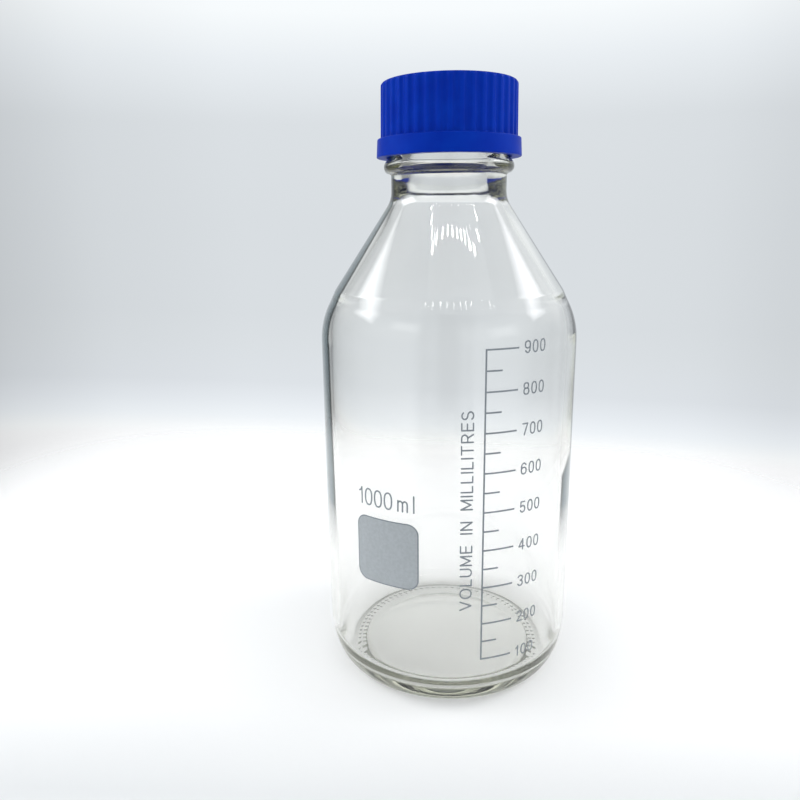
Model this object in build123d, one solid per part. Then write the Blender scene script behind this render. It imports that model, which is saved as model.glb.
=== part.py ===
"""Round one-litre glass media bottle with a 45 mm thread neck and a ribbed screw cap.

Units are millimetres. The origin is the centre of the base, +Z runs up the bottle's axis, and the
printed side faces -Y. Azimuths are degrees round the axis from -Y, positive towards +X.
Heights are chained upwards: shoulder, neck, bead, thread, mouth, pouring ring, liner, cap.
"""
from build123d import *
import math
import os

# ---------------------------------------------------------------- glass body
body_radius = 50.0
wall = 3.2
shoulder_height = 134.0  # where the straight side ends
shoulder_radius = 31.0
shoulder_turn = 29.0  # degrees that the shoulder arc turns before the ring
ring_rise = 4.3  # the shallow ring between shoulder and cone
ring_inset = 1.98
ring_blend = 3.0
cone_angle = 33.7  # half angle of the conical upper part
inner_shoulder_blend = 28.0

# ---------------------------------------------------------------- base
heel_width = 8.0
heel_height = 20.0
foot_width = 7.0  # flat ring that the bottle stands on
push_up = 3.5  # rise of the underside's centre
base_thickness = 4.5
inner_heel = 9.5
inner_heel_rise = 5.0  # height of the inner floor at its edge

# ---------------------------------------------------------------- neck and bead
neck_radius = 21.8
neck_length = 9.1  # from where cone and neck would meet to the bead
neck_blend = 10.0
bead_radius = 24.45
bead_height = 6.8
bead_round = 2.3
bead_shoulder = 3.3  # height on the bead where its upper slope starts
bead_round_limit = 0.7  # of bead_shoulder, so that the bead's two roundings fit on it
bead_slope_end = 0.95  # the slope meets the collar this far above the bead
bead_blend = 0.3
bore_radius = 15.0
finish_length = 33.4  # thick moulded part, from the mouth down to the ledge inside
ledge_drop = 0.9  # the ledge slopes this far down, out to the blown wall
ledge_round = 0.4

# ---------------------------------------------------------------- thread, 45 mm by 4 mm, right-handed
thread_pitch = 4.0
thread_root = 20.9
thread_depth = 1.45
thread_foot = 2.2  # axial width of the ridge where it leaves the wall
thread_crest = 1.0
thread_sink = 0.4  # how far a ridge is rooted in its wall
thread_run_out = 50.0  # degrees over which a ridge fades at each end
cut_margin = 0.1  # how far a cutter stands past what it cuts
neck_thread_turns = 2.0
cap_thread_turns = 2.25
collar_length = 17.0  # threaded stretch above the bead
collar_blend = 1.2
lip_radius = 19.8
lip_height = 4.2
lip_taper = 1.2
lip_round = 0.9

# ---------------------------------------------------------------- pouring ring
ring_top = 1.0
ring_skirt = 0.9
ring_skirt_length = 3.6
ring_snap = 0.35
ring_fit = 0.05

# ---------------------------------------------------------------- liner
liner_thickness = 1.3
liner_fit = 0.5  # radial room in the cap
seal_gap = 0.1

# ---------------------------------------------------------------- cap
cap_thread_clearance = 0.55  # radial, crest to root
thread_axial_gap = 0.3  # between the bearing flanks
cap_wall = 2.6  # from thread root to rib crest, at the foot of the ribs
rib_draft = 0.3  # the ribbed skirt narrows by this much to its top
cap_roof = 1.6
cap_edge = 1.3
cap_overhang = 0.8  # gap between the bead and the cap's lower edge
band_height = 6.6
band_proud = 1.25
band_draft = 0.35  # the band widens by this much to its foot
band_bevel = 0.35
skirt_relief = 0.5
skirt_relief_height = 3.6
rib_count = 40
rib_phase = 1.0
flute_depth = 0.7
flute_width = 2.5

# ---------------------------------------------------------------- enamel print
enamel = 0.12
line_width = 0.6
scale_azimuth = 14.9
first_mark_height = 21.3
mark_step = 14.53  # height of 100 ml in this bore
mark_count = 9
major_mark = 12.3  # lengths along the glass
minor_mark = 6.2
field_azimuth = -26.3
field_width = 25.9
field_height = 25.8
field_centre_height = 61.7
field_corner = 4.2
field_border = 0.45

# ---------------------------------------------------------------- worked out from the above
cone_slope = math.tan(math.radians(cone_angle))
ring_low_radius = body_radius - shoulder_radius * (1 - math.cos(math.radians(shoulder_turn)))
ring_low_height = shoulder_height + shoulder_radius * math.sin(math.radians(shoulder_turn))
cone_radius = ring_low_radius - ring_inset
cone_height = ring_low_height + ring_rise
neck_height = cone_height + (cone_radius - neck_radius) / cone_slope
bead_bottom = neck_height + neck_length
bead_top = bead_bottom + bead_height
lip_base = bead_top + collar_length
mouth_height = lip_base + lip_height
inner_radius = body_radius - wall
cone_wall = wall / math.cos(math.radians(cone_angle))

cap_root = thread_root + thread_depth + cap_thread_clearance
rib_radius = cap_root + cap_wall
band_radius = rib_radius + band_proud
liner_bottom = mouth_height + ring_top + seal_gap
roof_bottom = liner_bottom + liner_thickness + seal_gap
cap_top = roof_bottom + cap_roof
cap_bottom = bead_top - cap_overhang
band_top = cap_bottom + band_height


def turned(outline):
    """Solid of revolution about the axis from a closed outline drawn in (radius, height)."""
    return revolve(Plane.XZ * make_face(outline), Axis.Z)


def fade_tool(azimuth, height, root, crest, outward):
    """Off-centre cutter that lets a ridge fade to nothing at one of its ends."""
    depth = abs(crest - root) + cut_margin
    offset = depth / (1 - math.cos(math.radians(thread_run_out)))
    place = Pos(0, 0, height) * Rot(0, 0, azimuth)
    reach = thread_pitch - cut_margin
    if outward:
        cutter = Cylinder(crest + thread_sink, reach)
        return place * (cutter - Pos(-offset, 0, 0) * Cylinder(root - cut_margin / 2 + offset, thread_pitch))
    return place * (Pos(offset, 0, 0) * Cylinder(root + cut_margin / 2 - offset, reach))


def thread_ridge(root, crest, start_height, turns):
    """Helical ridge with a rounded-off trapezoid section and faded ends.

    It stands outwards where crest is larger than root, and inwards otherwise.
    """
    side = 1 if crest > root else -1
    sunk = root - side * thread_sink
    flare = thread_foot + thread_sink * (thread_foot - thread_crest) / abs(crest - root)
    section = Polyline(
        (sunk, -flare / 2),
        (crest, -thread_crest / 2),
        (crest, thread_crest / 2),
        (sunk, flare / 2),
        close=True,
    )
    rise = turns * thread_pitch
    path = Pos(0, 0, start_height) * Helix(thread_pitch, rise, root)
    face = Pos(0, 0, start_height) * (Plane.XZ * make_face(section))
    ridge = sweep(face, path=path, is_frenet=True)
    for azimuth, height in ((0, start_height), (turns * 360, start_height + rise)):
        ridge -= fade_tool(azimuth, height, root, crest, side > 0)
    return ridge


# The neck's ridge ends just under the lip, and the cap's ridge bears on it from below.
neck_ridge_start = lip_base - thread_foot - neck_thread_turns * thread_pitch
cap_ridge_start = neck_ridge_start - (thread_foot + thread_crest) / 2 - thread_axial_gap


def glass_bottle():
    """Blown body with a moulded, thick-walled finish: one piece of glass."""
    foot_outer = body_radius - heel_width
    foot_inner = foot_outer - foot_width
    shoulder_centre = body_radius - shoulder_radius
    bead_rise = bead_radius - neck_radius
    bead_fillet = min(bead_round, bead_rise - bead_blend, bead_round_limit * bead_shoulder)
    outside = [
        TangentArc((0, push_up), (foot_inner, 0), tangent=(1, 0)),
        Line((foot_inner, 0), (foot_outer, 0)),
        EllipticalCenterArc((foot_outer, heel_height), heel_width, heel_height, 270, arc_size=90),
        Line((body_radius, heel_height), (body_radius, shoulder_height)),
        CenterArc((shoulder_centre, shoulder_height), shoulder_radius, 0, arc_size=shoulder_turn),
        FilletPolyline(
            (ring_low_radius, ring_low_height),
            (cone_radius, cone_height),
            (neck_radius, neck_height),
            (neck_radius, bead_bottom),
            (bead_radius, bead_bottom),
            (bead_radius, bead_bottom + bead_shoulder),
            (thread_root, bead_top + bead_slope_end),
            (thread_root, lip_base - lip_taper),
            (lip_radius, lip_base),
            (lip_radius, mouth_height),
            (bore_radius, mouth_height),
            (bore_radius, mouth_height - lip_height),
            radius=[
                ring_blend,
                neck_blend,
                bead_blend,
                bead_fillet,
                bead_fillet,
                collar_blend,
                0,
                0,
                lip_round,
                lip_round,
            ],
        ),
    ]
    ledge_top = mouth_height - finish_length
    ledge_foot = ledge_top - ledge_drop
    inner_cone_top = neck_radius - cone_wall + (neck_height - ledge_foot) * cone_slope
    inner_cone_foot = neck_height - (inner_radius - neck_radius + cone_wall) / cone_slope
    floor_edge = inner_radius - inner_heel
    inside = [
        FilletPolyline(
            (bore_radius, mouth_height - lip_height),
            (bore_radius, ledge_top),
            (inner_cone_top, ledge_foot),
            (inner_radius, inner_cone_foot),
            (inner_radius, inner_heel_rise + inner_heel),
            radius=[ledge_round, ledge_round, inner_shoulder_blend],
        ),
        CenterArc((floor_edge, inner_heel_rise + inner_heel), inner_heel, 270, arc_size=90),
        TangentArc((0, push_up + base_thickness), (floor_edge, inner_heel_rise), tangent=(1, 0)),
        Line((0, push_up), (0, push_up + base_thickness)),
    ]
    bottle = turned(outside + inside)
    return bottle + thread_ridge(thread_root, thread_root + thread_depth, neck_ridge_start, neck_thread_turns)


def pouring_ring():
    """Drip ring: a flat top on the glass rim and a skirt that snaps round the lip."""
    inside = lip_radius + ring_fit
    outside = inside + ring_skirt
    skirt_bottom = mouth_height - ring_skirt_length
    return turned(
        Polyline(
            (bore_radius, mouth_height + ring_fit),
            (inside, mouth_height + ring_fit),
            (inside, skirt_bottom),
            (outside - ring_snap, skirt_bottom),
            (outside, skirt_bottom + ring_snap),
            (outside, mouth_height + ring_top),
            (bore_radius, mouth_height + ring_top),
            close=True,
        )
    )


def cap_liner():
    """Soft sealing disc under the cap's roof, held there by the cap's own thread."""
    return Pos(0, 0, liner_bottom + liner_thickness / 2) * Cylinder(cap_root - liner_fit, liner_thickness)


def screw_cap():
    """Ribbed cap with a plain band round its foot and the mating thread inside."""
    band_foot = band_radius + band_draft
    relief_radius = cap_root + skirt_relief
    relief_top = cap_bottom + skirt_relief_height
    crown = FilletPolyline(
        (0, cap_top), (rib_radius - rib_draft, cap_top), (rib_radius, band_top), radius=cap_edge
    )
    rest = Polyline(
        (rib_radius, band_top),
        (band_radius - band_bevel, band_top),
        (band_radius, band_top - band_bevel),
        (band_foot, cap_bottom + band_bevel),
        (band_foot - band_bevel, cap_bottom),
        (relief_radius, cap_bottom),
        (relief_radius, relief_top),
        (cap_root, relief_top + skirt_relief),
        (cap_root, roof_bottom),
        (0, roof_bottom),
        (0, cap_top),
    )
    flute_radius = (flute_width**2 / 4 + flute_depth**2) / (2 * flute_depth)
    cutter = Pos(0, 0, band_top) * Cone(
        flute_radius,
        flute_radius + rib_draft,
        cap_top - band_top + cut_margin,
        align=(Align.CENTER, Align.CENTER, Align.MIN),
    )
    half_pitch = 180 / rib_count
    flutes = PolarLocations(
        rib_radius - flute_depth + flute_radius, rib_count, start_angle=rib_phase - 90 + half_pitch
    )
    shell = turned(crown.edges() + [rest]) - flutes * cutter
    return shell + thread_ridge(cap_root, cap_root - thread_depth, cap_ridge_start, cap_thread_turns)


def printed(azimuth, height, width, tall):
    """Patch of enamel on the straight side, centred on an azimuth and a height."""
    angle = math.degrees(width / body_radius)
    patch = Pos(body_radius + enamel / 2, 0, height) * (Plane.XZ * Rectangle(enamel, tall))
    return Rot(0, 0, azimuth - 90 - angle / 2) * revolve(patch, Axis.Z, revolution_arc=angle)


def rounded_patch(inset):
    """The marking field's rounded square, drawn in by an inset all round."""
    chord = 2 * body_radius * math.sin(field_width / 2 / body_radius)
    outline = RectangleRounded(chord - 2 * inset, field_height - 2 * inset, field_corner - inset)
    stamp = extrude(Plane.XZ * outline, amount=2 * body_radius)
    width, tall = field_width + field_corner, field_height + field_corner
    skin = printed(field_azimuth, field_centre_height, width, tall)
    return skin & (Rot(0, 0, field_azimuth) * Pos(0, 0, field_centre_height) * stamp)


def marking_field():
    """Solid grey square for writing on."""
    return rounded_patch(field_border)


def marking_border():
    """Darker line round the marking field."""
    return rounded_patch(0) - rounded_patch(field_border)


def graduation_scale():
    """Upright line with a long mark for each 100 ml and a short one half way between."""
    rise = (mark_count - 1) * mark_step
    scale = printed(scale_azimuth, first_mark_height + rise / 2, line_width, rise + line_width)
    for mark in range(2 * mark_count - 1):
        length = minor_mark if mark % 2 else major_mark
        middle = scale_azimuth + math.degrees((length - line_width) / 2 / body_radius)
        scale += printed(middle, first_mark_height + mark * mark_step / 2, length, line_width)
    return scale


NODES = {
    "glass_bottle": glass_bottle,
    "pouring_ring": pouring_ring,
    "cap_liner": cap_liner,
    "screw_cap": screw_cap,
    "marking_field": marking_field,
    "marking_border": marking_border,
    "graduation_scale": graduation_scale,
}

os.makedirs("parts", exist_ok=True)
for name, build in NODES.items():
    export_step(build(), f"parts/{name}.step")
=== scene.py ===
"""Looks of the round glass media bottle: clear moulded glass, enamel print and a ribbed blue cap.

Sizes are millimetres in the row frame until MM turns them into Blender's metres. Azimuths are
degrees round the bottle's axis from -Y, positive towards +X, as seen from the printed side.
"""
import math

import bpy
import numpy as np
from mathutils import Matrix, Vector


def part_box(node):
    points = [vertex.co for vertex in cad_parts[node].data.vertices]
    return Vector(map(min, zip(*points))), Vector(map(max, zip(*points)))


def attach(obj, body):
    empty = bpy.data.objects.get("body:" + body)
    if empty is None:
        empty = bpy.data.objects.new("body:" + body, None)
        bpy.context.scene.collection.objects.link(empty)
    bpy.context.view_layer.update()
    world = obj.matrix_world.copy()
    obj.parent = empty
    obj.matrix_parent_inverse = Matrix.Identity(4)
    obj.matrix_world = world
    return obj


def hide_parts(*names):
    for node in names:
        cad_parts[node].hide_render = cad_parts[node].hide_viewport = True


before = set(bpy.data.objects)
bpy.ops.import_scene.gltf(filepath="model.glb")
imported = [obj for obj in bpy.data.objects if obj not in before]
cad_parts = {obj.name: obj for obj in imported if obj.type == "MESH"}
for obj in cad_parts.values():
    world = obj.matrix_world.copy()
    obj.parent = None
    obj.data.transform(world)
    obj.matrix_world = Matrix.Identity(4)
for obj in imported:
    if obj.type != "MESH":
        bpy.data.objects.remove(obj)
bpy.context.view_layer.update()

MM = 0.001

# ---------------------------------------------------------------- glass, as in the solids
BODY_R = 50.0
WALL = 3.2
SHOULDER_Z = 134.0
SHOULDER_R = 31.0
SHOULDER_TURN = 29.0
RING_RISE = 4.3
RING_INSET = 1.98
RING_BLEND = 3.0
CONE_ANGLE = 33.7
HEEL = (8.0, 20.0)  # width and height of the rounded heel
FOOT_WIDTH = 7.0
BAR_ROWS = ((35.5, 37.1), (37.7, 39.3))  # inner and outer radius of the two rows under the foot
BAR_COUNT = 80
BAR_HEIGHT = 0.5
PUSH_UP = 3.5
BASE_THICKNESS = 4.5
INNER_HEEL = (9.5, 9.5)  # width and height of its inner side
INNER_HEEL_RISE = 5.0
NECK_R = 21.8
NECK_LENGTH = 9.1
NECK_BLEND = 10.0
BEAD_R = 24.45
BEAD_HEIGHT = 6.8
BEAD_ROUND = 2.3
BEAD_SLANT = 0.9
BEAD_SHOULDER = 2.9
BEAD_SLOPE_END = 0.95
BEAD_BLEND = 0.9
BORE_R = 15.0
FINISH_LENGTH = 33.4
FLARE_ROUND = 22.0  # where the bore opens out to the blown wall
FLARE_LEAD = 7.0  # height over which the bore's wavy line fades out above it
INNER_SHOULDER_BLEND = 28.0
THREAD_PITCH = 4.0
THREAD_ROOT = 20.9
THREAD_DEPTH = 1.45
THREAD_FOOT = 2.2
THREAD_CREST = 1.0
THREAD_RUN_OUT = 50.0
NECK_TURNS = 2.0
CAP_TURNS = 2.25
COLLAR = 17.0
COLLAR_BLEND = 1.2
LIP_R = 19.8
LIP_HEIGHT = 4.2
LIP_TAPER = 1.2  # height of the slope below the lip
LIP_ROUND = 0.9
GLASS_SEGMENTS = 320

RING_LOW = (
    BODY_R - SHOULDER_R * (1 - math.cos(math.radians(SHOULDER_TURN))),
    SHOULDER_Z + SHOULDER_R * math.sin(math.radians(SHOULDER_TURN)),
)
SLOPE = math.tan(math.radians(CONE_ANGLE))
CONE_R = RING_LOW[0] - RING_INSET
CONE_Z = RING_LOW[1] + RING_RISE
NECK_Z = CONE_Z + (CONE_R - NECK_R) / SLOPE
BEAD_Z = NECK_Z + NECK_LENGTH
BEAD_TOP = BEAD_Z + BEAD_HEIGHT
LIP_Z = BEAD_TOP + COLLAR
MOUTH_Z = LIP_Z + LIP_HEIGHT
FOOT_OUTER = BODY_R - HEEL[0]
FOOT_INNER = FOOT_OUTER - FOOT_WIDTH
LEDGE_Z = MOUTH_Z - FINISH_LENGTH
INNER_R = BODY_R - WALL
CONE_WALL = WALL / math.cos(math.radians(CONE_ANGLE))
FLARE_FOOT = NECK_Z - (BORE_R - NECK_R + CONE_WALL) / SLOPE
FLARE_Z = FLARE_FOOT + FLARE_ROUND * math.tan(math.radians(CONE_ANGLE / 2)) + FLARE_LEAD

# ---------------------------------------------------------------- cap, as in the solids
THREAD_CLEARANCE = 0.55  # crest to root
THREAD_GAP = 0.3  # between the bearing flanks
CAP_WALL = 2.6
CAP_ROOF = 1.6
CAP_EDGE = 1.3
RIB_DRAFT = 0.3
BAND_HEIGHT = 6.6
BAND_PROUD = 1.25
BAND_DRAFT = 0.35
BAND_BEVEL = 0.35
RELIEF = 0.5
RELIEF_HEIGHT = 3.6
RIBS = 40
RIB_PHASE = 1.0
FLUTE_DEPTH = 0.7
FLUTE_WIDTH = 2.5
CAP_SEGMENTS = 480

CAP_LOW, CAP_HIGH = (corner.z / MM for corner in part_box("screw_cap"))
CAP_ROOT = THREAD_ROOT + THREAD_DEPTH + THREAD_CLEARANCE
RIB_R = CAP_ROOT + CAP_WALL
BAND_R = RIB_R + BAND_PROUD
BAND_Z = CAP_LOW + BAND_HEIGHT
NECK_RIDGE_Z = LIP_Z - THREAD_FOOT - NECK_TURNS * THREAD_PITCH
CAP_RIDGE_Z = NECK_RIDGE_Z - (THREAD_FOOT + THREAD_CREST) / 2 - THREAD_GAP

# ---------------------------------------------------------------- print
ENAMEL = (0.02, 0.11)  # inner and outer stand-off from the glass
STROKE = 0.5
FIRST_MARK = 21.3
MARK_STEP = 14.53
NUMERAL_SIZE = 4.0
NUMERAL_PLACE = (14.9, 14.55)  # azimuth of the scale, and the numerals' distance along the glass
CAPACITY_SIZE = 6.1
CAPACITY_STROKE = 0.58
CAPACITY_PLACE = (-39.3, 79.1)  # azimuth and height of its baseline's left end
UNIT_START = 16.6
LEGEND_SIZE = 4.0
LEGEND_AZIMUTH = 5.3
LEGEND_SPAN = (42.0, 116.5)  # heights of its two ends


def linear(red, green, blue):
    """Linear colour from 0-255 display values."""
    shares = (red / 255, green / 255, blue / 255)
    return [((c + 0.055) / 1.055) ** 2.4 if c > 0.04 else c / 12.92 for c in shares] + [1.0]


# ================================================================ profiles and lathe
def line(start, end, step=100.0, support=0.4):
    """Points along a straight run, with one close to each end so that its shading stays flat."""
    a, b = np.array(start, float), np.array(end, float)
    length = np.linalg.norm(b - a)
    if length < 3 * support:
        return [tuple(a), tuple(b)]
    inner = np.linspace(support, length - support, max(2, math.ceil(length / step) + 1))
    along = [0.0, *inner, length]
    return [tuple(a + (b - a) * s / length) for s in along]


def arc(centre, radii, start, turn, facet=4.0):
    """Points of an arc, or of a piece of an ellipse, from an angle through a turn in degrees."""
    angles = np.radians(np.linspace(start, start + turn, max(2, math.ceil(abs(turn) / facet)) + 1))
    return [(centre[0] + radii[0] * math.cos(a), centre[1] + radii[1] * math.sin(a)) for a in angles]


def rounded(corners, radii, step=100.0, facet=9.0, fine=2.5):
    """Run of straight lines whose inner corners are tangent arcs, the large ones in finer steps."""
    points = []
    last = np.array(corners[0], float)
    for corner, after, radius in zip(corners[1:-1], corners[2:], radii):
        corner, after = np.array(corner, float), np.array(after, float)
        back = (last - corner) / np.linalg.norm(last - corner)
        on = (after - corner) / np.linalg.norm(after - corner)
        half = math.acos(np.clip(back @ on, -1, 1)) / 2
        reach = radius / math.tan(half)
        centre = corner + (back + on) / np.linalg.norm(back + on) * radius / math.sin(half)
        first, final = corner + back * reach, corner + on * reach
        points += line(last, first, step)
        start = math.degrees(math.atan2(*(first - centre)[::-1]))
        end = math.degrees(math.atan2(*(final - centre)[::-1]))
        turn = (end - start + 180) % 360 - 180
        points += arc(centre, (radius, radius), start, turn, fine if radius > 5 else facet)
        last = final
    return points + line(last, corners[-1], step)


def shallow_dome(centre_height, edge, edge_height):
    """Arc from the axis out to an edge, level at the axis."""
    rise = centre_height - edge_height
    radius = (edge**2 + rise**2) / (2 * rise)
    turn = math.degrees(math.asin(edge / radius))
    return arc((0, centre_height - radius), (radius, radius), 90, -turn, turn / 8)


def thread_height(height, angle, start, turns, fade=THREAD_RUN_OUT):
    """Rise of a helical ridge over its wall, at heights and angles given as arrays."""
    rise = np.zeros(np.broadcast(height, angle).shape)
    for lap in range(math.ceil(turns) + 1):
        total = angle + 360 * lap
        centre = start + THREAD_PITCH * total / 360
        flank = (THREAD_FOOT / 2 - abs(height - centre)) / ((THREAD_FOOT - THREAD_CREST) / 2)
        flank = np.clip(flank, 0, 1)
        ends = np.clip(np.minimum(total, turns * 360 - total) / fade, 0, 1)
        rise = np.maximum(rise, flank**2 * (3 - 2 * flank) * ends * (2 - ends))
    return rise * THREAD_DEPTH


def lathe(name, sections, count):
    """Closed mesh from profile sections turned about the axis.

    Each section is (points, shape), where shape, or None, maps (radius, height, angle) arrays to
    the shaped radius and height. The first and last points lie on the axis and become poles.
    """
    angle = np.arange(count) * 360.0 / count
    grids = []
    for points, shape in sections:
        points = np.array(points, float)
        radius = np.repeat(points[:, :1], count, axis=1)
        height = np.repeat(points[:, 1:], count, axis=1)
        if shape:
            radius, height = shape(radius, height, angle[None, :])
        east, north = radius * np.cos(np.radians(angle)), radius * np.sin(np.radians(angle))
        grids.append(np.stack([east, north, height], -1))
    grid = np.concatenate(grids)
    keep = np.ones(len(grid), bool)
    keep[1:] = np.abs(np.diff(grid, axis=0)).max(axis=(1, 2)) > 1e-4
    grid = grid[keep]
    body = grid[1:-1]
    rows = len(body)
    verts = np.concatenate([body.reshape(-1, 3), grid[:1, 0], grid[-1:, 0]]) * MM
    here = np.arange(rows * count).reshape(rows, count)
    there = np.roll(here, -1, axis=1)
    quads = np.stack([here[:-1], there[:-1], there[1:], here[1:]], -1).reshape(-1, 4)
    first, last = rows * count, rows * count + 1
    faces = quads.tolist()
    faces += [[first, b, a] for a, b in zip(here[0], there[0])]
    faces += [[last, a, b] for a, b in zip(here[-1], there[-1])]
    return mesh_object(name, verts, faces)


def mesh_object(name, verts, faces, smooth=True):
    """Object from vertices in metres and faces, smooth shaded unless told otherwise."""
    mesh = bpy.data.meshes.new(name)
    mesh.from_pydata(np.asarray(verts).tolist(), [], [[int(i) for i in face] for face in faces])
    mesh.validate()
    if smooth:
        mesh.shade_smooth()
    obj = bpy.data.objects.new(name, mesh)
    bpy.context.scene.collection.objects.link(obj)
    return obj


def soft_noise(angle, height, seed, reach):
    """Slow unevenness round and along a blown wall, between about -1 and 1."""
    rng = np.random.default_rng(seed)
    total = np.zeros(np.broadcast(angle, height).shape)
    for wave in range(1, reach + 1):
        phase, drift, lean = rng.uniform(0, 2 * math.pi, 3)
        around = np.radians(wave * angle)
        total = total + np.sin(around + phase + 0.8 * np.sin(height / 28 + drift)) / wave**0.8
        total = total + 0.5 * np.sin(around + lean) * np.sin(height / 17 + drift) / wave**0.8
    return total / 2.2


# ================================================================ the glass
def foot_shape(radius, height, angle):
    """Two rows of short bars that stand down from the ring under the bottle."""
    bar_flank, ring_flank = 0.35, 0.6
    bars = np.clip(1.6 * np.cos(np.radians(BAR_COUNT * angle)), 0, 1)
    rows = np.zeros_like(radius)
    for low, high in BAR_ROWS:
        rows = np.maximum(rows, np.clip(np.minimum(radius - low, high - radius) / bar_flank, 0, 1))
    lift = np.clip(np.minimum(radius - FOOT_INNER, FOOT_OUTER - radius) / ring_flank, 0, 1)
    return radius, height + BAR_HEIGHT * lift * (1 - bars * rows)


def collar_shape(radius, height, angle):
    """Thread on the outside of the collar."""
    return radius + thread_height(height, angle, NECK_RIDGE_Z, NECK_TURNS), height


def bump_at(azimuth, centre, width):
    """Smooth bump round the axis, 1 at its centre."""
    off = (azimuth - centre + 180) % 360 - 180
    return np.exp(-((off / width) ** 2))


def inside_shape(radius, height, angle):
    """Unevenness of the blown inner wall, and the wavy line where it leaves the moulded bore."""
    azimuth = angle + 90
    fade = np.clip((height - INNER_HEEL_RISE) / 30, 0, 1) * np.clip((LEDGE_Z - height) / 18, 0, 1)
    uneven = 0.26 * (soft_noise(angle, height, 5, 7) + 0.4)
    near = np.clip((height - FLARE_FOOT + 12) / 10, 0, 1) * np.clip((FLARE_Z - height) / FLARE_LEAD, 0, 1)
    wave = 2.5 + 1.5 * bump_at(azimuth, -66, 26) - 0.9 * bump_at(azimuth, 12, 26)
    wave = wave + 0.06 * np.sin(np.radians(23 * angle))
    return radius - fade * uneven, height + near * wave


def outside_shape(radius, height, angle):
    """Very slight unevenness of the outer wall."""
    fade = np.clip((height - 22) / 30, 0, 1) * np.clip((NECK_Z - 4 - height) / 20, 0, 1)
    return radius - 0.035 * fade * (soft_noise(angle, height, 11, 5) + 1), height


def glass_piece():
    """The whole bottle: blown body, moulded finish, thread and bore in one closed mesh."""
    bars_end = BAR_ROWS[1][1] + 0.4
    dome = shallow_dome(PUSH_UP, FOOT_INNER, 0)
    foot = line((FOOT_INNER, 0), (bars_end, 0), step=0.4, support=0.1) + [(FOOT_OUTER, 0)]
    heel = arc((FOOT_OUTER, HEEL[1]), HEEL, -90, 90, 5)
    side = line((BODY_R, HEEL[1]), (BODY_R, SHOULDER_Z), step=10)
    shoulder = arc((BODY_R - SHOULDER_R, SHOULDER_Z), (SHOULDER_R, SHOULDER_R), 0, SHOULDER_TURN, 2.5)
    collar_z = BEAD_TOP + BEAD_SLOPE_END + 1.5
    upper = rounded(
        [
            RING_LOW,
            (CONE_R, CONE_Z),
            (NECK_R, NECK_Z),
            (NECK_R, BEAD_Z),
            (BEAD_R, BEAD_Z + BEAD_SLANT),
            (BEAD_R, BEAD_Z + BEAD_SLANT + BEAD_SHOULDER),
            (THREAD_ROOT, BEAD_TOP + BEAD_SLOPE_END),
            (THREAD_ROOT, collar_z),
        ],
        [RING_BLEND, NECK_BLEND, BEAD_BLEND, BEAD_ROUND, BEAD_ROUND, COLLAR_BLEND],
        step=10,
        facet=12,
    )
    collar = line((THREAD_ROOT, collar_z), (THREAD_ROOT, LIP_Z - LIP_TAPER), step=0.55, support=0.1)
    lip = rounded(
        [
            (THREAD_ROOT, LIP_Z - LIP_TAPER),
            (LIP_R, LIP_Z),
            (LIP_R, MOUTH_Z),
            (BORE_R, MOUTH_Z),
            (BORE_R, MOUTH_Z - LIP_HEIGHT),
        ],
        [0.3, LIP_ROUND, LIP_ROUND],
        facet=18,
    )
    cone_foot = NECK_Z - (INNER_R - NECK_R + CONE_WALL) / SLOPE
    bore = line((BORE_R, MOUTH_Z - LIP_HEIGHT), (BORE_R, FLARE_Z), step=6)
    middle = ((BORE_R + INNER_R) / 2, (FLARE_FOOT + cone_foot) / 2)
    flare = rounded([(BORE_R, FLARE_Z), (BORE_R, FLARE_FOOT), middle], [FLARE_ROUND], step=3.5, fine=1.25)
    inner = rounded(
        [middle, (INNER_R, cone_foot), (INNER_R, INNER_HEEL_RISE + INNER_HEEL[1])],
        [INNER_SHOULDER_BLEND],
        step=10,
        fine=3.0,
    )
    floor_edge = INNER_R - INNER_HEEL[0]
    heel_in = arc((floor_edge, INNER_HEEL_RISE + INNER_HEEL[1]), INNER_HEEL, 0, -90, 7.5)
    floor = shallow_dome(PUSH_UP + BASE_THICKNESS, floor_edge, INNER_HEEL_RISE)[::-1]
    sections = [
        (dome, None),
        (foot, foot_shape),
        (heel, None),
        (side, outside_shape),
        (shoulder, outside_shape),
        (upper, outside_shape),
        (collar, collar_shape),
        (lip, None),
        (bore, None),
        (flare, inside_shape),
        (inner, inside_shape),
        (heel_in, inside_shape),
        (floor, None),
    ]
    return lathe("bottle_glass", sections, GLASS_SEGMENTS)


# ================================================================ the cap
def flute_shape(radius, height, angle):
    """Scalloped flutes between the ribs, cut out through the cap's rounded edge."""
    pitch = 360 / RIBS
    share = np.clip((height - BAND_Z) / (CAP_HIGH - BAND_Z), 0, 1)
    cutter = (FLUTE_WIDTH**2 / 4 + FLUTE_DEPTH**2) / (2 * FLUTE_DEPTH)
    centre = RIB_R - FLUTE_DEPTH + cutter
    cutter = cutter + RIB_DRAFT * share
    off = (angle - RIB_PHASE + 90) % pitch - pitch / 2
    side = centre * np.sin(np.radians(off))
    flute = centre * np.cos(np.radians(off)) - np.sqrt(np.clip(cutter**2 - side**2, 0, None))
    flute = np.where(abs(side) < cutter, flute, RIB_R + 1)
    foot = np.clip((height - BAND_Z - 0.02) / 0.5, 0, 1)
    flute = RIB_R - (RIB_R - flute) * foot**0.5
    soft = 0.12
    gap = np.clip((flute - radius) / soft, -1, 1)
    blended = np.minimum(radius, flute) - soft / 4 * (1 - abs(gap)) ** 2
    return np.where(flute < RIB_R + 0.5, blended, radius), height


def cap_thread_shape(radius, height, angle):
    """Thread on the inside of the cap."""
    return radius - thread_height(height, angle, CAP_RIDGE_Z, CAP_TURNS), height


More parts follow.
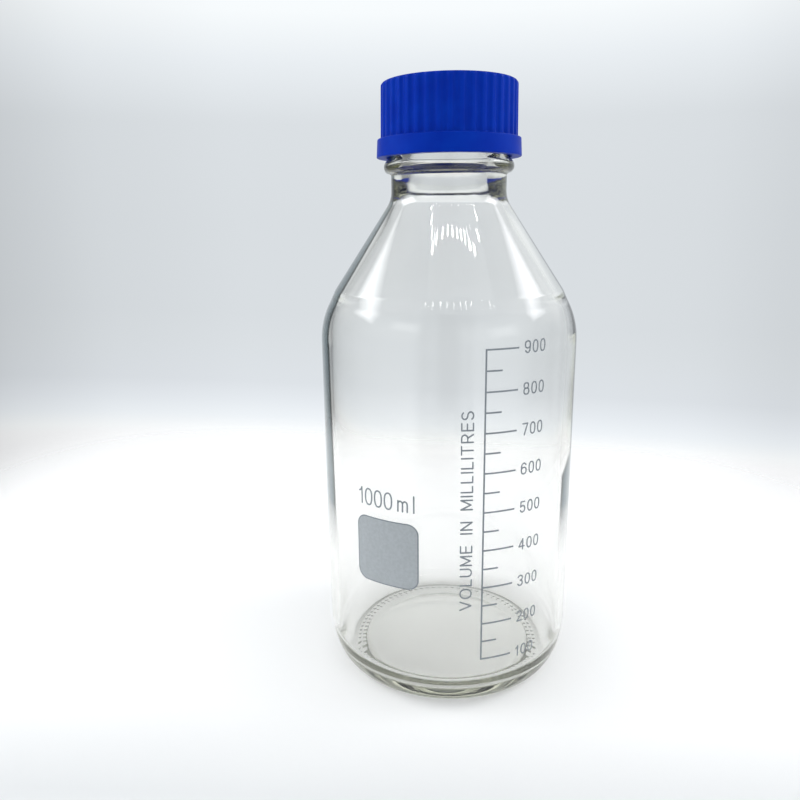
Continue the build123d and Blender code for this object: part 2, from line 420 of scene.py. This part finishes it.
def cap_piece():
    """Moulded cap: ribbed skirt, plain band, relief and thread inside."""
    roof_z = CAP_HIGH - CAP_ROOF
    rib_top = RIB_R - RIB_DRAFT
    crown = rounded(
        [(2.0, CAP_HIGH), (rib_top, CAP_HIGH), (RIB_R, BAND_Z + 0.6)],
        [CAP_EDGE],
        step=3,
        facet=6,
    )
    ribs = line((RIB_R, BAND_Z + 0.5), (RIB_R, BAND_Z + 0.05), step=0.1, support=0.05)
    band_foot = BAND_R + BAND_DRAFT
    band = rounded(
        [
            (RIB_R, BAND_Z + 0.04),
            (RIB_R, BAND_Z),
            (BAND_R, BAND_Z - 0.05),
            (band_foot, CAP_LOW),
            (CAP_ROOT + RELIEF, CAP_LOW),
            (CAP_ROOT + RELIEF, CAP_LOW + RELIEF_HEIGHT),
        ],
        [0.02, BAND_BEVEL, BAND_BEVEL, 0.3],
        step=3,
        facet=15,
    )
    relief_top = CAP_LOW + RELIEF_HEIGHT + RELIEF
    thread_end = roof_z - 0.6
    relief = line((CAP_ROOT + RELIEF, CAP_LOW + RELIEF_HEIGHT), (CAP_ROOT, relief_top))
    thread = line((CAP_ROOT, relief_top + 0.05), (CAP_ROOT, thread_end), step=0.35, support=0.1)
    roof = rounded([(CAP_ROOT, thread_end), (CAP_ROOT, roof_z), (2.0, roof_z)], [0.4], step=5)
    roof += [(0, roof_z)]
    sections = [
        ([(0, CAP_HIGH)], None),
        (crown, flute_shape),
        (ribs, flute_shape),
        (band, None),
        (relief, None),
        (thread, cap_thread_shape),
        (roof, None),
    ]
    return lathe("cap_shell", sections, CAP_SEGMENTS)


# ================================================================ enamel print
def bow(centre, radii, start, turn, count=9):
    """Points on a piece of an ellipse, for the curved strokes of a letter."""
    angles = np.radians(np.linspace(start, start + turn, count))
    return [(centre[0] + radii[0] * math.cos(a), centre[1] + radii[1] * math.sin(a)) for a in angles]


def loop(width, low=0.0, high=1.0, square=2.4, count=28):
    """Closed upright oval, a little squarer than an ellipse."""
    points = []
    for a in np.linspace(0, 2 * math.pi, count + 1):
        c, s = math.cos(a), math.sin(a)
        points.append(
            (
                width / 2 + width / 2 * math.copysign(abs(c) ** (2 / square), c),
                (low + high) / 2 + (high - low) / 2 * math.copysign(abs(s) ** (2 / square), s),
            )
        )
    return points


def glyphs():
    """Strokes and width of each sign, in units of a capital's height."""
    w = 0.52
    return {
        "0": ([loop(w)], w),
        "1": ([[(0.0, 0.76), (0.13, 0.82), (0.22, 1.0), (0.22, 0.0)]], 0.3),
        "2": ([bow((w / 2, 0.73), (w / 2, 0.27), 170, -195) + [(0.02, 0.0), (w, 0.0)]], w),
        "3": ([bow((w / 2, 0.76), (w / 2, 0.24), 155, -245), bow((w / 2, 0.26), (w / 2, 0.26), 90, -250)], w),
        "4": ([[(w * 0.8, 0.0), (w * 0.8, 1.0), (0.0, 0.28), (w * 1.12, 0.28)]], w * 1.1),
        "5": (
            [[(w * 0.92, 1.0), (0.08, 1.0), (0.04, 0.52)] + bow((w / 2, 0.31), (w / 2, 0.31), 125, -280)],
            w,
        ),
        "6": ([bow((w / 2, 0.6), (w / 2, 0.4), 35, 145) + [(0.0, 0.3)], loop(w, 0.0, 0.6)], w),
        "7": ([[(0.0, 1.0), (w, 1.0), (w * 0.35, 0.0)]], w),
        "8": ([loop(w * 0.9, 0.53, 1.0), loop(w, 0.0, 0.53)], w),
        "9": ([loop(w, 0.4, 1.0), [(w, 0.7)] + bow((w / 2, 0.4), (w / 2, 0.4), 0, -145)], w),
        "m": (
            [
                [(0.0, 0.0), (0.0, 0.64)],
                [(0.0, 0.42)] + bow((0.145, 0.45), (0.145, 0.18), 180, -180) + [(0.29, 0.0)],
                [(0.29, 0.42)] + bow((0.435, 0.45), (0.145, 0.18), 180, -180) + [(0.58, 0.0)],
            ],
            0.58,
        ),
        "l": ([[(0.0, 0.0), (0.0, 1.0)]], 0.0),
        "V": ([[(0.0, 1.0), (0.36, 0.0), (0.72, 1.0)]], 0.72),
        "O": ([loop(0.78, square=2.15)], 0.78),
        "L": ([[(0.0, 1.0), (0.0, 0.0), (0.48, 0.0)]], 0.48),
        "U": ([[(0.0, 1.0), (0.0, 0.3)] + bow((0.31, 0.3), (0.31, 0.3), 180, 180) + [(0.62, 1.0)]], 0.62),
        "M": ([[(0.0, 0.0), (0.0, 1.0), (0.38, 0.12), (0.76, 1.0), (0.76, 0.0)]], 0.76),
        "E": ([[(0.54, 1.0), (0.0, 1.0), (0.0, 0.0), (0.54, 0.0)], [(0.0, 0.52), (0.5, 0.52)]], 0.54),
        "I": ([[(0.0, 0.0), (0.0, 1.0)]], 0.0),
        "N": ([[(0.0, 0.0), (0.0, 1.0), (0.62, 0.0), (0.62, 1.0)]], 0.62),
        "T": ([[(0.0, 1.0), (0.64, 1.0)], [(0.32, 1.0), (0.32, 0.0)]], 0.64),
        "R": (
            [
                [(0.0, 0.0), (0.0, 1.0), (0.33, 1.0)]
                + bow((0.33, 0.74), (0.25, 0.26), 90, -180)
                + [(0.0, 0.48)],
                [(0.34, 0.48), (0.6, 0.0)],
            ],
            0.6,
        ),
        "S": ([bow((0.28, 0.75), (0.27, 0.25), 30, 235) + bow((0.29, 0.25), (0.29, 0.25), 80, -235)], 0.58),
        " ": ([], 0.42),
    }


def ribbon(points, width):
    """Flat strip along a stroke with round ends: a list of convex outlines in the sheet's plane."""
    path = [np.array(points[0], float)]
    for point in points[1:]:
        if np.linalg.norm(np.array(point) - path[-1]) > 1e-6:
            path.append(np.array(point, float))
    half = width / 2
    outlines = []
    for a, b in zip(path, path[1:]):
        along = (b - a) / np.linalg.norm(b - a)
        across = np.array([-along[1], along[0]]) * half
        outlines.append([a + across, a - across, b - across, b + across])
    turns = np.linspace(0, 2 * math.pi, 13)[:-1]
    for point in path:
        outlines.append([point + half * np.array([math.cos(t), math.sin(t)]) for t in turns])
    return outlines


def bent_sheet(name, outlines, azimuth):
    """Thin closed patches on the straight side; each outline is (along the glass, height) in mm."""
    verts, faces = [], []
    for outline in outlines:
        outline = np.array(outline)
        area = np.sum(outline[:, 0] * np.roll(outline[:, 1], -1) - np.roll(outline[:, 0], -1) * outline[:, 1])
        if area < 0:
            outline = outline[::-1]
        base = len(verts)
        count = len(outline)
        for stand_off in ENAMEL:
            for along, height in outline:
                angle = math.radians(azimuth) + along / BODY_R
                radius = BODY_R + stand_off
                verts.append((radius * math.sin(angle) * MM, -radius * math.cos(angle) * MM, height * MM))
        faces.append([base + count + i for i in range(count)])
        faces.append([base + i for i in range(count)][::-1])
        for i in range(count):
            after = (i + 1) % count
            faces.append([base + i, base + after, base + count + after, base + count + i])
    return mesh_object(name, verts, faces, smooth=False)


def words(text, height, gap, squeeze=1.0, stroke=STROKE):
    """Strips of a line of text from its left end, on a baseline at height 0, and its length."""
    signs = glyphs()
    outlines, at = [], 0.0
    for sign in text:
        strokes, width = signs[sign]
        for points in strokes:
            outlines += ribbon([(at + x * height * squeeze, y * height) for x, y in points], stroke)
        at += width * height * squeeze + gap
    return outlines, at - gap


def moved(outlines, along, height):
    """Outlines shifted on the sheet."""
    return [[np.array(p) + (along, height) for p in outline] for outline in outlines]


def stood_up(outlines):
    """Outlines turned a quarter to the left, so that a line of text reads upwards."""
    return [[np.array((-p[1], p[0])) for p in outline] for outline in outlines]


def print_pieces():
    """Numerals of the scale, the capacity and the legend."""
    numerals = []
    for mark in range(1, 10):
        outlines, _ = words(f"{mark}00", NUMERAL_SIZE, 1.35, stroke=0.52)
        baseline = FIRST_MARK + (mark - 1) * MARK_STEP - NUMERAL_SIZE / 2
        numerals += moved(outlines, NUMERAL_PLACE[1], baseline)
    capacity, _ = words("1000", CAPACITY_SIZE, 1.3, squeeze=0.93, stroke=CAPACITY_STROKE)
    unit, _ = words("ml", CAPACITY_SIZE, 2.45, stroke=CAPACITY_STROKE)
    capacity = moved(capacity, -0.35, 0) + moved(unit, UNIT_START, 0)
    legend, length = words("VOLUME IN MILLILITRES", LEGEND_SIZE, 1.28)
    stretch = (LEGEND_SPAN[1] - LEGEND_SPAN[0]) / length
    legend = [[np.array((p[0], p[1] * stretch)) for p in outline] for outline in stood_up(legend)]
    return [
        bent_sheet("print_numerals", numerals, NUMERAL_PLACE[0]),
        bent_sheet("print_capacity", moved(capacity, 0, CAPACITY_PLACE[1]), CAPACITY_PLACE[0]),
        bent_sheet("print_legend", moved(legend, 4.3, LEGEND_SPAN[0]), LEGEND_AZIMUTH),
    ]


# ================================================================ materials
def new_material(name):
    """Material with an empty node tree and its output node."""
    material = bpy.data.materials.new(name)
    material.use_nodes = True
    material.node_tree.nodes.clear()
    return material, material.node_tree, material.node_tree.nodes.new("ShaderNodeOutputMaterial")


def add(tree, kind, inputs=(), **settings):
    """Node with its settings, and its inputs given as values or as sockets to link."""
    node = tree.nodes.new(kind)
    for key, value in settings.items():
        setattr(node, key, value)
    for key, value in dict(inputs).items():
        if isinstance(value, bpy.types.NodeSocket):
            tree.links.new(value, node.inputs[key])
        else:
            node.inputs[key].default_value = value
    return node


def math_node(tree, operation, *terms):
    """Output of a Math node."""
    return add(tree, "ShaderNodeMath", dict(enumerate(terms)), operation=operation).outputs[0]


def map_range(tree, value, low, high, start=0.0, end=1.0, interpolation="LINEAR"):
    """Output of a Map Range node, which stays at its ends past them."""
    inputs = {0: value, 1: low, 2: high, 3: start, 4: end}
    return add(tree, "ShaderNodeMapRange", inputs, interpolation_type=interpolation).outputs[0]


def mix_colours(tree, factor, first, second, blend="MIX"):
    """Colour output of a Mix node."""
    inputs = {0: factor, 6: first, 7: second}
    return add(tree, "ShaderNodeMix", inputs, data_type="RGBA", blend_type=blend).outputs[2]


def ramp(tree, factor, stops):
    """Output of a colour ramp through (position, colour) stops."""
    node = add(tree, "ShaderNodeValToRGB", {"Fac": factor})
    elements = node.color_ramp.elements
    while len(elements) < len(stops):
        elements.new(0.5)
    for element, (position, colour) in zip(elements, stops):
        element.position = position
        element.color = colour
    return node.outputs["Color"]


def painted_edge_shade(tree, geometry, height):
    """Painted shade: a dark grey band on the outer wall where it is seen at a grazing angle, standing in for
    the dark room that it would mirror.

    It starts above the heel, and higher up it is narrower on the right than on the left, the room's unlit
    side.
    """
    white, dark, grey = (1, 1, 1, 1), (0.004, 0.006, 0.006, 1), (0.03, 0.05, 0.06, 1)
    facing = add(tree, "ShaderNodeLayerWeight", {"Blend": 0.5}).outputs["Facing"]
    normal, place = geometry["Normal"], geometry["Position"]
    outward = add(tree, "ShaderNodeVectorMath", {0: normal, 1: place}, operation="DOT_PRODUCT")
    outward = math_node(tree, "GREATER_THAN", outward.outputs["Value"], 0.0)
    outside = math_node(tree, "SUBTRACT", 1.0, geometry["Backfacing"])
    outside = math_node(tree, "MULTIPLY", outside, outward)
    turned = add(tree, "ShaderNodeSeparateXYZ", {0: normal}).outputs[0]
    # painted shade: the band widens where the wall faces the unlit left (-X) side of the room
    side = map_range(tree, turned, -0.4, 0.4, 1.0, 0.78)
    low = map_range(tree, height, 0.085, 0.092, 1.0, 0.78)
    grazing = math_node(tree, "MULTIPLY", facing, math_node(tree, "MAXIMUM", side, low))
    # painted shade: white where the wall faces the viewer, then a dark line, then grey towards grazing angles
    edge = ramp(tree, grazing, [(0.655, white), (0.68, dark), (0.70, dark), (0.725, grey), (1.0, grey)])
    above_heel = map_range(tree, height, 0.050, 0.072)
    return mix_colours(tree, math_node(tree, "MULTIPLY", outside, above_heel), white, edge)


def glass_shadow(tree, east, north, height):
    """Share of a lamp's light that passes: little at the heel, most higher up and in the middle."""
    reach = math_node(tree, "POWER", east, 2.0)
    reach = math_node(tree, "SQRT", math_node(tree, "MULTIPLY_ADD", north, north, reach))
    middle = map_range(tree, reach, 0.046, 0.040, 0.0, 0.9)
    passed = map_range(tree, height, 0.003, 0.026, 0.1, 0.97)
    return math_node(tree, "MAXIMUM", passed, middle)


def glass_material():
    """Clear glass with painted shade along its edges, faintly olive where thick; lamps shine through it."""
    material, tree, output = new_material("clear_glass")
    geometry = add(tree, "ShaderNodeNewGeometry").outputs
    east, north, height = add(tree, "ShaderNodeSeparateXYZ", {0: geometry["Position"]}).outputs
    # the painted edge shade goes into the glass's base colour
    colour = painted_edge_shade(tree, geometry, height)
    glass = add(
        tree,
        "ShaderNodeBsdfPrincipled",
        {"Base Color": colour, "Roughness": 0.0, "IOR": 1.5, "Transmission Weight": 1.0},
    )
    clear = add(tree, "ShaderNodeBsdfTransparent", {"Color": glass_shadow(tree, east, north, height)})
    shadow = add(tree, "ShaderNodeLightPath").outputs["Is Shadow Ray"]
    mix = add(tree, "ShaderNodeMixShader", {0: shadow, 1: glass.outputs[0], 2: clear.outputs[0]})
    tint = add(tree, "ShaderNodeVolumeAbsorption", {"Color": (0.6, 0.61, 0.42, 1), "Density": 13.0})
    tree.links.new(mix.outputs[0], output.inputs["Surface"])
    tree.links.new(tint.outputs[0], output.inputs["Volume"])
    return material


def plastic_material(name, dark, light, roughness, grain):
    """Moulded plastic: slight colour variation, fine grain and uneven gloss."""
    material, tree, output = new_material(name)
    where = add(tree, "ShaderNodeTexCoord").outputs["Object"]
    cloud = add(tree, "ShaderNodeTexNoise", {"Vector": where, "Scale": 140.0, "Detail": 3.0}).outputs["Fac"]
    fine = add(tree, "ShaderNodeTexNoise", {"Vector": where, "Scale": 2600.0, "Detail": 2.0}).outputs["Fac"]
    colour = ramp(tree, cloud, [(0.3, dark), (0.7, light)])
    gloss = map_range(tree, cloud, 0.3, 0.7, roughness - 0.04, roughness + 0.04)
    bump = add(tree, "ShaderNodeBump", {"Height": fine, "Strength": grain, "Distance": 0.0001})
    shader = add(
        tree,
        "ShaderNodeBsdfPrincipled",
        {
            "Base Color": colour,
            "Roughness": gloss,
            "Normal": bump.outputs[0],
            "IOR": 1.49,
            "Specular IOR Level": 0.05,
        },
    )
    tree.links.new(shader.outputs[0], output.inputs["Surface"])
    return material


def enamel_material(name, shade):
    """Fired screen-printed enamel: matt, with a faint mottle."""
    material, tree, output = new_material(name)
    where = add(tree, "ShaderNodeTexCoord").outputs["Object"]
    mottle = add(tree, "ShaderNodeTexNoise", {"Vector": where, "Scale": 900.0, "Detail": 4.0}).outputs["Fac"]
    deep = [c * 0.94 for c in shade[:3]] + [1]
    pale = [min(1, c * 1.05) for c in shade[:3]] + [1]
    colour = ramp(tree, mottle, [(0.35, deep), (0.65, pale)])
    bump = add(tree, "ShaderNodeBump", {"Height": mottle, "Strength": 0.15, "Distance": 0.00005})
    shader = add(
        tree,
        "ShaderNodeBsdfPrincipled",
        {"Base Color": colour, "Roughness": 0.45, "Normal": bump.outputs[0], "Specular IOR Level": 0.35},
    )
    tree.links.new(shader.outputs[0], output.inputs["Surface"])
    return material


# ================================================================ stage, lamps and camera
LAMP_AIM = Vector((0, 0, 0.15))  # point on the bottle's axis that the lamps face, in metres


def direct_ray(tree):
    """1 for what is seen directly, mirrored or through glass, 0 for what only lights."""
    rays = add(tree, "ShaderNodeLightPath")
    seen = math_node(tree, "MAXIMUM", rays.outputs["Is Camera Ray"], rays.outputs["Is Glossy Ray"])
    seen = math_node(tree, "MAXIMUM", seen, rays.outputs["Is Transmission Ray"])
    return math_node(tree, "MULTIPLY", seen, math_node(tree, "LESS_THAN", rays.outputs["Diffuse Depth"], 0.5))


def side_tone(tree, east, north):
    """Brightness of the surroundings by their compass direction, +Y in the middle.

    The room is darker to both sides and behind whoever looks at the print.
    """
    turn = math_node(tree, "DIVIDE", math_node(tree, "ARCTAN2", east, north), 2 * math.pi)
    stops = [
        (-180, 0.2),
        (-157, 0.2),
        (-148, 0.95),
        (-105, 0.95),
        (-78, 0.34),
        (-44, 0.32),
        (-33, 0.78),
        (-26, 0.93),
        (-16, 1.0),
        (12, 1.0),
        (19, 0.98),
        (25, 0.90),
        (31, 0.94),
        (60, 0.78),
        (90, 0.78),
        (110, 0.92),
        (166, 0.95),
        (174, 0.2),
        (180, 0.2),
    ]
    stops = [(degrees / 360 + 0.5, (tone, tone, tone * 1.01, 1)) for degrees, tone in stops]
    return ramp(tree, math_node(tree, "ADD", turn, 0.5), stops)


def rounded_reach(tree, east, north):
    """Distance from the bottle's axis along a rounded square, whose sides face the four ways."""
    fourth = [math_node(tree, "POWER", math_node(tree, "ABSOLUTE", side), 4.0) for side in (east, north)]
    return math_node(tree, "POWER", math_node(tree, "ADD", *fourth), 0.25)


def floor_piece():
    """Pale sheet: lit and shadowed near the bottle, greyed by painted shade in front of it towards the
    camera, and open to the surroundings far from it.
    """
    size = 6.0
    drop = -0.0003  # just under the foot, in metres as in every node below
    corners = [(-size, -size, drop), (size, -size, drop), (size, size, drop), (-size, size, drop)]
    floor = mesh_object("floor", corners, [[0, 1, 2, 3]], smooth=False)
    material, tree, output = new_material("pale_floor")
    place = add(tree, "ShaderNodeNewGeometry").outputs["Position"]
    east, north, _ = add(tree, "ShaderNodeSeparateXYZ", {0: place}).outputs
    reach = math_node(tree, "MULTIPLY_ADD", east, 0.15, rounded_reach(tree, east, north))
    grey, white = (0.76, 0.78, 0.79, 1), (0.98, 0.99, 0.995, 1)
    # painted shade: the sheet turns grey in front of the bottle (towards -Y), a falloff of light painted into
    # its colour
    shaded_paper = ramp(tree, math_node(tree, "ADD", north, 0.2), [(0.105, grey), (0.15, white)])
    lit = add(tree, "ShaderNodeBsdfDiffuse", {"Color": shaded_paper})
    far = add(tree, "ShaderNodeBsdfTransparent", {"Color": (1, 1, 1, 1)})
    blend = map_range(tree, reach, 0.2, 0.34, interpolation="SMOOTHSTEP")
    blend = math_node(tree, "MULTIPLY", blend, direct_ray(tree))
    mix = add(tree, "ShaderNodeMixShader", {0: blend, 1: lit.outputs[0], 2: far.outputs[0]})
    tree.links.new(mix.outputs[0], output.inputs["Surface"])
    floor.data.materials.append(material)


def studio_world():
    """Soft pale surroundings for everything that is seen, and even light for what is lit.

    The ground's ramp runs by the slope of the way down, and the sky's by its height.
    """
    world = bpy.data.worlds.new("studio")
    bpy.context.scene.world = world
    world.use_nodes = True
    tree = world.node_tree
    tree.nodes.clear()
    way = add(tree, "ShaderNodeTexCoord").outputs["Generated"]
    east, north, up = add(tree, "ShaderNodeSeparateXYZ", {0: way}).outputs
    rise = math_node(tree, "ADD", math_node(tree, "MULTIPLY", up, 0.5), 0.5)
    sky = ramp(
        tree,
        rise,
        [
            (0.50, linear(217, 222, 225)),
            (0.56, linear(219, 224, 227)),
            (0.595, linear(234, 239, 242)),
            (0.622, linear(248, 252, 253)),
            (0.70, linear(248, 252, 253)),
            (0.82, linear(160, 164, 168)),
            (0.92, linear(105, 110, 116)),
            (1.0, linear(100, 105, 112)),
        ],
    )
    leaning = math_node(tree, "MULTIPLY_ADD", east, 0.045, up)
    slope = math_node(tree, "DIVIDE", leaning, rounded_reach(tree, east, north))
    ground = ramp(
        tree,
        math_node(tree, "MULTIPLY", slope, -1.0),
        [
            (0.1404, linear(217, 222, 225)),
            (0.1831, linear(219, 224, 227)),
            (0.2388, linear(222, 227, 231)),
            (0.2671, linear(231, 236, 240)),
            (0.2907, linear(240, 245, 248)),
            (0.3123, linear(252, 255, 255)),
            (0.3247, linear(254, 255, 255)),
        ],
    )
    above = math_node(tree, "GREATER_THAN", up, 0.0)
    tone = mix_colours(tree, above, ground, sky)
    tone = mix_colours(tree, 1.0, tone, side_tone(tree, east, north), "MULTIPLY")
    seen = add(tree, "ShaderNodeBackground", {"Color": tone, "Strength": 1.0})
    light = add(tree, "ShaderNodeBackground", {"Color": (0.97, 0.985, 1.0, 1), "Strength": 0.75})
    mix = add(tree, "ShaderNodeMixShader", {0: direct_ray(tree), 1: light.outputs[0], 2: seen.outputs[0]})
    add(tree, "ShaderNodeOutputWorld", {"Surface": mix.outputs[0]})


def toward(azimuth, elevation, distance):
    """Point at a distance from the lamps' aim in a direction given in degrees."""
    a, e = math.radians(azimuth), math.radians(elevation)
    way = Vector((math.sin(a) * math.cos(e), -math.cos(a) * math.cos(e), math.sin(e)))
    return LAMP_AIM + way * distance


def softbox(name, azimuth, elevation, distance, size, radiance, colour=(1, 1, 1)):
    """Rectangular lamp that faces the bottle, of a given brightness per area."""
    lamp = bpy.data.lights.new(name, "AREA")
    lamp.shape = "RECTANGLE"
    lamp.size, lamp.size_y = size
    lamp.energy = radiance * math.pi * size[0] * size[1]
    lamp.color = colour
    obj = bpy.data.objects.new(name, lamp)
    obj.location = toward(azimuth, elevation, distance)
    aim = LAMP_AIM - obj.location
    obj.rotation_euler = aim.to_track_quat("-Z", "Y").to_euler()
    obj.visible_camera = False
    obj.visible_transmission = False
    bpy.context.scene.collection.objects.link(obj)
    return obj


def window(name, azimuth, elevation, size, radiance, colour=(1, 1, 1)):
    """Lamp whose brightness falls off to its edges, from layers of softboxes set a little apart."""
    layers = 5
    for layer in range(layers):
        share = 1 - 0.13 * layer
        shape = (size[0] * share, size[1] * share)
        distance = 0.8 + 0.003 * layer
        softbox(f"{name}_{layer}", azimuth, elevation, distance, shape, radiance / layers, colour)


def lamp_dots():
    """Row of small lamps overhead that the glass mirrors as dotted highlights."""
    left = [(-52, 63.3), (-45, 63.3), (-39, 63.0), (-33, 62.5), (-27, 64.0), (-14, 65.4), (-2, 66.0)]
    right = [(10, 65.8), (21, 65.0), (30, 64.0), (38, 62.7), (45, 61.0), (52, 59.1), (64, 57.5), (71, 57.4)]
    places = left + right
    for number, (azimuth, elevation) in enumerate(places):
        dot = softbox(f"dot_{number}", azimuth, elevation, 3.0, (0.05, 0.05), 60.0)
        dot.visible_diffuse = False
        dot.visible_transmission = True


def camera():
    """Camera at the photograph's place and angle."""
    place = (0, -0.2859, 0.1805)
    turn, pitch, roll = math.radians(-3.875), math.radians(14.203), math.radians(-0.629)
    ahead = Vector((math.sin(turn) * math.cos(pitch), math.cos(turn) * math.cos(pitch), -math.sin(pitch)))
    level = Vector((math.cos(turn), -math.sin(turn), 0))
    upright = level.cross(ahead)
    right = math.cos(roll) * level + math.sin(roll) * upright
    up = -math.sin(roll) * level + math.cos(roll) * upright
    data = bpy.data.cameras.new("camera")
    data.sensor_width = 36.0
    data.lens = 32.5
    data.clip_start = 0.01
    obj = bpy.data.objects.new("camera", data)
    rotation = Matrix((right, up, -ahead)).transposed().to_4x4()
    obj.matrix_world = Matrix.Translation(place) @ rotation
    bpy.context.scene.collection.objects.link(obj)
    bpy.context.scene.camera = obj


# ================================================================ assembly
def dress(obj, material):
    """Gives a piece its material and slot."""
    obj.data.materials.clear()
    obj.data.materials.append(material)


def repaint(node, material):
    """Gives a carried-over CAD node a better material."""
    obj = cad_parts[node]
    for place in obj.material_slots:
        place.material = material


glass = glass_piece()
dress(glass, glass_material())
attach(glass, "bottle")
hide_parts("glass_bottle")

cap = cap_piece()
dress(cap, plastic_material("blue_plastic", linear(0, 43, 161), linear(0, 51, 171), 0.4, 0.25))
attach(cap, "cap")
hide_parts("screw_cap")

line_enamel = enamel_material("grey_enamel_line", linear(134, 141, 147))
for piece in print_pieces():
    dress(piece, line_enamel)
    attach(piece, "bottle")
repaint("graduation_scale", line_enamel)
repaint("marking_border", line_enamel)
repaint("marking_field", enamel_material("grey_enamel_field", linear(172, 178, 182)))
repaint("pouring_ring", plastic_material("ring_blue", linear(6, 60, 185), linear(10, 70, 195), 0.4, 0.2))
repaint("cap_liner", plastic_material("liner_grey", linear(205, 208, 206), linear(214, 217, 215), 0.55, 0.3))

floor_piece()
studio_world()
softbox("key", 20, 68, 0.9, (0.8, 0.6), 0.55)
window("left_window", -92, 33, (0.50, 0.27), 9.0)
window("right_window", 99, 32, (0.43, 0.28), 8.0, (1.0, 0.98, 1.0))
window("left_front", -40, 28, (0.42, 0.18), 1.6)
window("right_front", 50, 20, (0.42, 0.2), 1.4)
lamp_dots()
camera()
bpy.context.scene.view_settings.view_transform = "Standard"
cycles = bpy.context.scene.cycles
cycles.max_bounces = 28
cycles.glossy_bounces = 24
cycles.transmission_bounces = 24
cycles.transparent_max_bounces = 24
